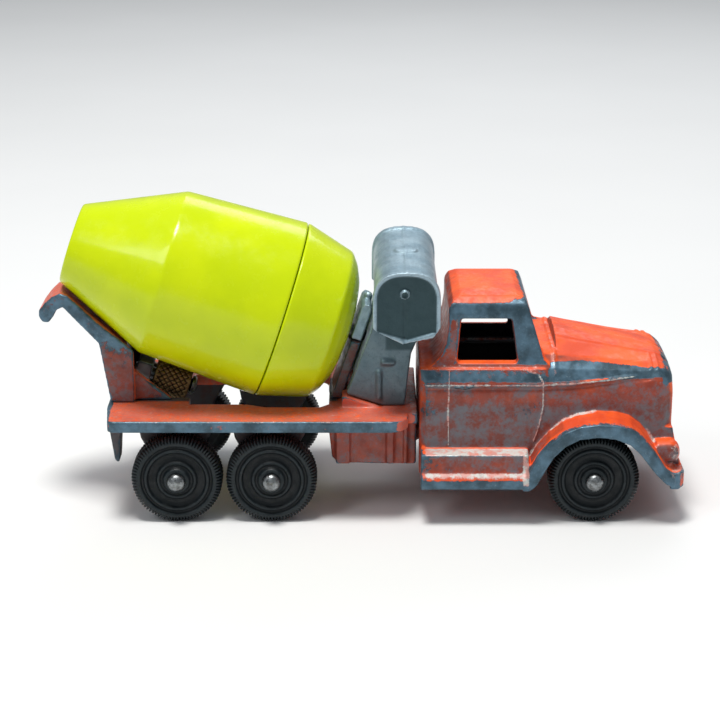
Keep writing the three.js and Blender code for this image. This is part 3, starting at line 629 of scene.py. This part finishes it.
def cab_rubbed_and_sheen(points, wide, side, up):
    """Whitish rubbed places, with painted sheen on the steps and the fender's crest: raised lines, steps,
    the fender's crest, the belt's edge, lamps and cowl.
    """
    x, _, z = points.T
    window_rim = band(z, 25.6, 32.5, 0.3) * (1 - ramp(np.abs(x - 15.3), 0.2, 0.8)) * ramp(wide, 9.0, 9.5)
    outer = side * ramp(wide, 10.4, 10.9)
    lines = [0.72 * outer * near_line(points, line) for line in (DOOR_REAR, DOOR_FRONT, TRIM)]
    steps = band(z, 7.0, 12.5, 0.2) * band(wide, 12.9, 16.5, 0.2)
    steps *= (1 - ramp(x, 26.4, 26.9)) * ramp(x, 9.8, 10.6) * np.maximum(up, ramp(x, 25.4, 25.8))
    fender = 1 - ramp(distance_to_path(x, z, FENDER_TOP), 0.1, 0.6)
    fender *= (1 - ramp(x, 36.5, 38.5) * (1 - ramp(x, 44, 46))) * band(wide, 11.4, 12.6, 0.4)
    belt_edge = band(z, 24.5, 25.1, 0.2) * (1 - ramp(x, 28, 29)) * ramp(wide, 10.2, 10.8)
    lamps = ramp(x, 47.6, 49.4) * band(z, 8.6, 12.5, 1.2) * ramp(wide, 10.5, 12)
    cowl = (1 - ramp(np.abs(x - COWL_X), 0.15, 0.55)) * ramp(z, 23, 24)
    return np.maximum.reduce([
        0.4 * side * window_rim, *lines, 0.84 * steps,
        0.70 * fender, 0.42 * belt_edge, 0.5 * lamps, 0.48 * cowl,
    ])


def cab_marks(points, normals):
    """The cab's wear, painted shade, and rubbed paint with painted sheen."""
    wide = np.abs(points[:, 1])
    side = side_facing(normals)
    up = ramp(normals[:, 2], 0.4, 0.8)
    return {
        "scuff": cab_scuff(points[:, 0], points[:, 2], wide, side, up),
        "grime": cab_painted_shade(points, normals, wide, side),
        "rubbed": cab_rubbed_and_sheen(points, wide, side, up),
    }


def deck_marks(points, normals):
    """A bare rim round the deck, a rubbed top with painted sheen, and painted shade below it and between the
    legs of the support.
    """
    x, y, z = points.T
    wide = np.abs(y)
    rim = ramp(wide, 14.7, 15.1) * ramp(z, 15.0, 15.5)
    rim = np.maximum(rim, ramp(-x, 39.2, 39.7) * ramp(z, 15.0, 15.5))
    below = 1 - ramp(z, 15.0, 15.6)
    boxes = ramp(x, -6.0, -5.5) * below
    grime = np.maximum(below * 0.93 * (1 - boxes), 0.5 * boxes)
    middle = (1 - ramp(wide, 5.2, 6.2)) * (1 - ramp(z, 18.0, 18.4)) * (1 - ramp(x, -4, -3))
    grime = np.maximum(grime, 0.9 * middle)
    rubbed = 0.55 * ramp(x, 7.4, 8.2) * ramp(z, 16.6, 17.1)
    rubbed += 0.42 * ramp(wide, 14.2, 14.9) * ramp(z, 16.8, 17.1)
    top = ramp(normals[:, 2], 0.5, 0.9) * ramp(z, 16.6, 17.0)
    rubbed = np.maximum(rubbed, 0.34 * top)
    return {"scuff": 0.62 * rim - 0.1 * top, "grime": grime, "rubbed": rubbed}


def support_marks(points, normals):
    """Patchy metal on the webs and the chute's lip, painted sheen on the lip, and painted shade on the sides
    and between the legs.
    """
    _, y, z = points.T
    side = side_facing(normals)
    arm = ramp(z, 24.5, 27.5) * side
    grime = 0.60 * side + 0.95 * (1 - ramp(np.abs(y), 4.2, 4.9)) * (1 - ramp(z, 24, 27))
    lip = ramp(normals[:, 2], 0.4, 0.8) * ramp(z, 26, 28)
    return {"scuff": 0.16 + 0.32 * arm, "grime": np.minimum(grime, 1), "rubbed": 0.36 * lip}


def post_marks(points, normals):
    """The front bracket is darkened all over as painted shade."""
    return {"grime": np.full(len(points), 0.72), "scuff": np.full(len(points), 0.04)}


def tank_middle_x():
    """The middle of the tank along the truck, in millimetres."""
    low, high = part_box("water_tank")
    return (low[0] + high[0]) / 2 / MM


def tank_details(points, normals):
    """A parting line along the top, and each end sunk inside its rim with a crease down it."""
    x, y, z = points.T
    moved = points.copy()
    top = ramp(normals[:, 2], 0.6, 0.9)
    moved[:, 2] += 0.08 * top * (1 - ramp(np.abs(x - tank_middle_x()), 0.1, 0.4))
    end = ramp(np.abs(normals[:, 1]), 0.7, 0.9) * ramp(np.abs(y), 13.2, 13.7)
    moved[:, 1] -= np.sign(y) * 0.35 * end * tank_face(points)
    crease = (1 - ramp(np.abs(x - CREASE_X), 0.10, 0.4)) * (1 - ramp(z, 35.8, 36.8))
    moved[:, 1] -= np.sign(y) * 0.18 * end * crease
    return moved


def tank_face(points):
    """1 on the tank's sunk end faces, 0 on their rims."""
    x, _, z = points.T
    across = np.abs(x - tank_middle_x())
    arch = (across / FACE_HALF_WIDTH) ** ARCH_POWER
    arch += (np.maximum(z - ARCH_Z, 0) / FACE_RISE) ** ARCH_POWER
    keel = 31.6 - 0.3 * np.maximum(4.0 - across, 0)
    return (1 - ramp(arch, 0.84, 1.0)) * ramp(z, keel - 0.5, keel)


def tank_marks(points, normals):
    """Painted shade on the sunk end faces."""
    end = side_facing(normals) * ramp(np.abs(points[:, 1]), 13.0, 13.5)
    return {"grime": 0.90 * end * tank_face(points)}


def pedestal_marks(points, normals):
    """Painted shade on the pedestal's sides, darker under the tank."""
    neck = band(points[:, 0], 4.2, 8.6, 0.5) * ramp(points[:, 2], 25.5, 27)
    return {"grime": np.maximum(0.85 * neck, 0.62) * ramp(np.abs(normals[:, 1]), 0.2, 0.7)}


def make_castings():
    """Every painted or bare die casting, and the rivets."""
    casting("cab_casting", 0.22, 5, RED, cab_details, cab_marks)
    casting("chassis_deck", 0.22, 4, RED_FADED, None, deck_marks)
    casting("chute_support", 0.20, 5, RED_FADED, None, support_marks)
    casting("front_bracket", 0.20, 5, RED_FADED, None, post_marks)
    casting("bearing_cap", 0.16, 5, ZINC)
    casting("water_tank", 0.20, 4, ZINC, tank_details, tank_marks)
    casting("tank_pedestal", 0.20, 4, ZINC, None, pedestal_marks)
    for node in RIVETS:
        casting(node, 0.14, 4, ZINC)


# ---------- drum ----------
DRUM_WALL = 1.2
MOUTH = (-27.4, 6.45)
SHOULDER = (-12.1, 13.5)
SEAM = (7.7, 14.55)
FRONT_RING = (15.9, 12.3)
DRUM_END = (18.9, 5.2)
HUB = 3.0  # the hub's length and its radius inside the drum
SPINDLE_RADIUS = 1.1
SPINDLE_END = 22.0
SPINDLE_BORE = 1.25
SEAM_GAP = 0.07  # each side of the seam
COLLAR_GAP = 0.3
COLLAR_LENGTH = 2.6
COLLAR_WALL = 0.9
DRUM_STEPS = 160


def drum_rear():
    """The rear moulding: a cone and a barrel with a soft ridge between them and a rolled mouth."""
    wall = DRUM_WALL
    profile = [
        MOUTH, SHOULDER, (SEAM[0] - SEAM_GAP, SEAM[1]), (SEAM[0] - SEAM_GAP, SEAM[1] - wall),
        (SHOULDER[0], SHOULDER[1] - wall), (MOUTH[0], MOUTH[1] - wall),
    ]
    profile = spaced(filleted(profile, 0.4, 4), 1.2)
    mesh = turned_mesh("drum_rear", profile, DRUM_STEPS, DRUM_PLACE)
    piece = new_piece("drum_rear_moulding", "drum", mesh, YELLOW)
    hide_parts("drum_rear_shell")


def drum_front():
    """The front moulding: a chamfered end with a hub, and a collar that fits inside the rear one."""
    wall = DRUM_WALL
    collar = SEAM[1] - wall - COLLAR_GAP
    collar_end = SEAM[0] - COLLAR_LENGTH
    hub_start = DRUM_END[0] - HUB
    profile = [
        (SEAM[0] + SEAM_GAP, SEAM[1]), FRONT_RING, (17.2, 10.6), (18.3, 8.2),
        DRUM_END, (DRUM_END[0], SPINDLE_BORE), (hub_start, SPINDLE_BORE), (hub_start, HUB),
        (DRUM_END[0] - wall, 3.4), (17.2, 7.6), (16.2, 9.8), (FRONT_RING[0] - 1.0, FRONT_RING[1] - wall),
        (SEAM[0] + 0.6, collar - COLLAR_WALL), (collar_end, collar - COLLAR_WALL),
        (collar_end, collar), (SEAM[0] + SEAM_GAP, collar),
    ]
    profile = spaced(filleted(profile, 0.45, 4), 1.2)
    mesh = turned_mesh("drum_front", profile, DRUM_STEPS, DRUM_PLACE)
    piece = new_piece("drum_front_moulding", "drum", mesh, YELLOW)
    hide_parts("drum_front_shell")


def spindle():
    """The headed pin that the drum's hub turns on."""
    head = DRUM_END[0] - HUB - 0.3
    profile = [
        (head - 1.0, 0), (head - 1.0, 1.3), (head - 0.5, 2.1), (head, 2.1), (head, SPINDLE_RADIUS),
        (SPINDLE_END - 0.4, SPINDLE_RADIUS), (SPINDLE_END, 0.8), (SPINDLE_END, 0),
    ]
    mesh = turned_mesh("spindle", spaced(filleted(profile, 0.2, 3), 0.6), 40, DRUM_PLACE)
    piece = new_piece("drum_spindle_pin", "truck", mesh, STEEL)
    mark_plain(mesh)
    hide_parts("drum_spindle")


def mark_plain(mesh):
    """Gives a mesh the attributes of a casting, all 0."""
    for name in ("edge", "hollow", *WEAR_AND_SHADE):
        set_attribute(mesh, name, np.zeros(len(mesh.vertices)))


# ---------- knurled roller ----------
ROLLER_RADIUS = 3.0
ROLLER_ENDS = (-8.6, -2.6)
ROLLER_BORE = 1.06
PIN_START = -12.0
PIN_RADIUS = 1.0
PIN_HEAD = 1.6
KNURL_STARTS = 18
KNURL_DEPTH = 0.26


def roller():
    """The carrier roller with a diamond knurl between two plain ends."""
    rear, front = ROLLER_ENDS
    profile = [(rear, ROLLER_BORE), (rear, ROLLER_RADIUS), (front, ROLLER_RADIUS), (front, ROLLER_BORE)]
    profile = spaced(filleted(profile, 0.25, 3), 0.14)
    pitch = 2 * math.pi * ROLLER_RADIUS / KNURL_STARTS

    def knurl(along, radius, turn):
        spiral_a = KNURL_STARTS * turn + 2 * math.pi * along / pitch
        spiral_b = KNURL_STARTS * turn - 2 * math.pi * along / pitch
        height = np.minimum(np.abs(np.sin(spiral_a / 2)), np.abs(np.sin(spiral_b / 2)))
        outside = ramp(radius, ROLLER_RADIUS - 0.06, ROLLER_RADIUS - 0.01)
        inside_ends = ramp(along, rear + 0.35, rear + 0.5) * (1 - ramp(along, front - 0.5, front - 0.35))
        return radius - KNURL_DEPTH * outside * inside_ends * (1 - ramp(height, 0.0, 0.55))

    mesh = turned_mesh("roller", profile, KNURL_STARTS * 14, ROLLER_PLACE, knurl)
    from_pin = points_of(mesh) - np.array(ROLLER_PLACE.translation) / MM
    local = from_pin @ np.array(ROLLER_PLACE.to_3x3())
    radius = np.hypot(local[:, 1], local[:, 2])
    set_attribute(mesh, "edge", ramp(radius, ROLLER_RADIUS - KNURL_DEPTH, ROLLER_RADIUS))
    piece = new_piece("knurled_carrier_roller", "roller", mesh, BRASS)
    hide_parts("carrier_roller")


def roller_pin():
    """The roller's pin, with a domed head at its front end."""
    end = ROLLER_ENDS[1] + 0.2
    profile = [
        (PIN_START, 0), (PIN_START, PIN_RADIUS), (end, PIN_RADIUS), (end, PIN_HEAD),
        (end + 0.5, PIN_HEAD), (end + 0.9, PIN_RADIUS), (end + 0.9, 0),
    ]
    mesh = turned_mesh("roller_pin", spaced(filleted(profile, 0.2, 3), 0.6), 32, ROLLER_PLACE)
    mark_plain(mesh)
    piece = new_piece("roller_pin_headed", "truck", mesh, STEEL)
    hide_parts("roller_pin")


# ---------- wheels and axles ----------
WHEEL_RADIUS = 7.2
WHEEL_OUTER = 15.3
WHEEL_WIDTH = 4.6
AXLE_RADIUS = 1.0
WHEEL_BORE = 1.06
WHEEL_BACK = [(0, WHEEL_BORE), (0, 2.6), (0.8, 4.2), (0, 5.4), (0.1, 6.7), (0.7, WHEEL_RADIUS)]
WHEEL_FACE = [  # how far each point is sunk, and its radius
    (1.1, WHEEL_RADIUS), (0.55, 6.75), (0.42, 6.1), (0.5, 5.75), (0.85, 5.6), (0.85, 5.25),
    (0.5, 5.1), (0.45, 4.75), (0.95, 4.5), (1.15, 3.9), (1.0, 3.3), (0.55, 3.05),
    (0.5, 2.75), (0.75, 2.5), (0.7, 2.2), (0.2, 2.0), (0.05, 1.7), (0.05, WHEEL_BORE),
]
WHEEL_EDGE_SCALE = 0.1
TEETH = 82
TOOTH_DEPTH = 0.42


def axle_place(where):
    """X of the placement runs along the axle, to the truck's left."""
    origin, _ = joint(where + "_left_spin")
    return Matrix.Translation(origin) @ Matrix.Rotation(math.radians(90), 4, "Z")


def wheel(where, side_name):
    """A one-piece wheel: shoulder teeth, a sidewall ring, a sunk band, a disc and a raised hub."""
    inner = WHEEL_OUTER - WHEEL_WIDTH
    profile = [(inner + along, radius) for along, radius in WHEEL_BACK]
    profile += [(WHEEL_OUTER - sunk, radius) for sunk, radius in WHEEL_FACE]
    profile = spaced(filleted(profile, 0.14, 2), 0.5)

    def teeth(along, radius, turn):
        flank = (turn * TEETH / math.pi / 2) % 1
        gap = ramp(np.abs(flank - 0.5), 0.16, 0.30)
        tread = ramp(radius, 6.35, 6.8) * (1 - ramp(along, WHEEL_OUTER - 0.5, WHEEL_OUTER - 0.42))
        groove = 1 - ramp(np.abs(along - (WHEEL_OUTER - WHEEL_WIDTH / 2)), 0.25, 0.45)
        return radius - tread * np.maximum(gap * TOOTH_DEPTH, groove * 0.3)

    mesh = turned_mesh("wheel", profile, TEETH * 6, Matrix.Identity(4), teeth)
    if side_name == "right":
        mesh.transform(Matrix.Rotation(math.pi, 4, "Z"))
    mark_wear_and_shade(mesh, WHEEL_EDGE_SCALE)
    mesh.transform(axle_place(where))
    name = f"wheel_{where}_{side_name}"
    piece = new_piece(f"{name}_moulding", f"{where}_{side_name}_wheel", mesh, BLACK)
    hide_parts(name)


def axle(where):
    """A wire with a hammered dome at each end."""
    inside = WHEEL_OUTER + 0.25
    half = [
        (inside, AXLE_RADIUS), (inside, 1.4), (inside + 0.25, 1.45), (inside + 0.55, 1.32),
        (inside + 0.85, 1.0), (inside + 1.05, 0.6), (inside + 1.12, 0.3), (inside + 1.08, 0),
    ]
    profile = [(-a, r) for a, r in reversed(half)] + half
    mesh = turned_mesh("axle", spaced(profile, 0.8), 48, axle_place(where))
    mark_plain(mesh)
    piece = new_piece(f"axle_{where}_wire", "truck", mesh, STEEL)
    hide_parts(f"axle_{where}")


def make_running_gear():
    for where in ("front", "middle", "rear"):
        axle(where)
        for side_name in ("left", "right"):
            wheel(where, side_name)


# ---------- stage ----------
FLOOR_HALF_SIZE = 3.0  # metres


def make_floor():
    mesh = bpy.data.meshes.new("floor")
    far = FLOOR_HALF_SIZE
    corners = [(-far, -far, 0), (far, -far, 0), (far, far, 0), (-far, far, 0)]
    mesh.from_pydata(corners, [], [(0, 1, 2, 3)])
    floor = bpy.data.objects.new("floor", mesh)
    SCENE.collection.objects.link(floor)
    mesh.materials.append(floor_material())


def make_camera():
    """Looks at the truck's right side from CAMERA_TILT above level."""
    data = bpy.data.cameras.new("camera")
    data.lens = CAMERA_LENS
    data.clip_start = 0.01
    camera = bpy.data.objects.new("camera", data)
    SCENE.collection.objects.link(camera)
    back = Vector((0, -math.cos(CAMERA_TILT), math.sin(CAMERA_TILT))) * CAMERA_DISTANCE
    camera.location = Vector((0, 0, CAMERA_TARGET_Z)) + back
    camera.rotation_euler = (math.pi / 2 - CAMERA_TILT, 0, 0)
    SCENE.camera = camera


def area_light(name, place, target, size, watts, colour):
    """A rectangular light at place that faces target, in metres and watts."""
    data = bpy.data.lights.new(name, "AREA")
    data.shape = "RECTANGLE"
    data.size, data.size_y = size
    data.energy = watts
    data.color = colour
    light = bpy.data.objects.new(name, data)
    SCENE.collection.objects.link(light)
    light.location = place
    light.rotation_euler = (Vector(target) - Vector(place)).to_track_quat("-Z", "Y").to_euler()


def make_lights():
    """A soft key from above, a weak window light from the rear right, a rim light and a pale sky."""
    target = (0, 0, 0.02)
    area_light("key", (-0.06, -0.08, 0.60), target, (0.16, 0.16), 3.3, (1.0, 0.99, 0.96))
    area_light("window", (-0.30, -0.28, 0.42), target, (0.10, 0.22), 0.40, (0.95, 0.98, 1.0))
    area_light("rim", (0.10, 0.45, 0.40), target, (0.4, 0.2), 0.7, (0.92, 0.96, 1.0))
    world = bpy.data.worlds.new("world")
    SCENE.world = world
    world.use_nodes = True
    background = world.node_tree.nodes["Background"]
    background.inputs["Color"].default_value = (0.90, 0.95, 1.0, 1)
    background.inputs["Strength"].default_value = 0.28
    SCENE.view_settings.view_transform = "Standard"


make_camera()
make_lights()
make_floor()
make_castings()
drum_rear()
drum_front()
spindle()
roller()
roller_pin()
make_running_gear()
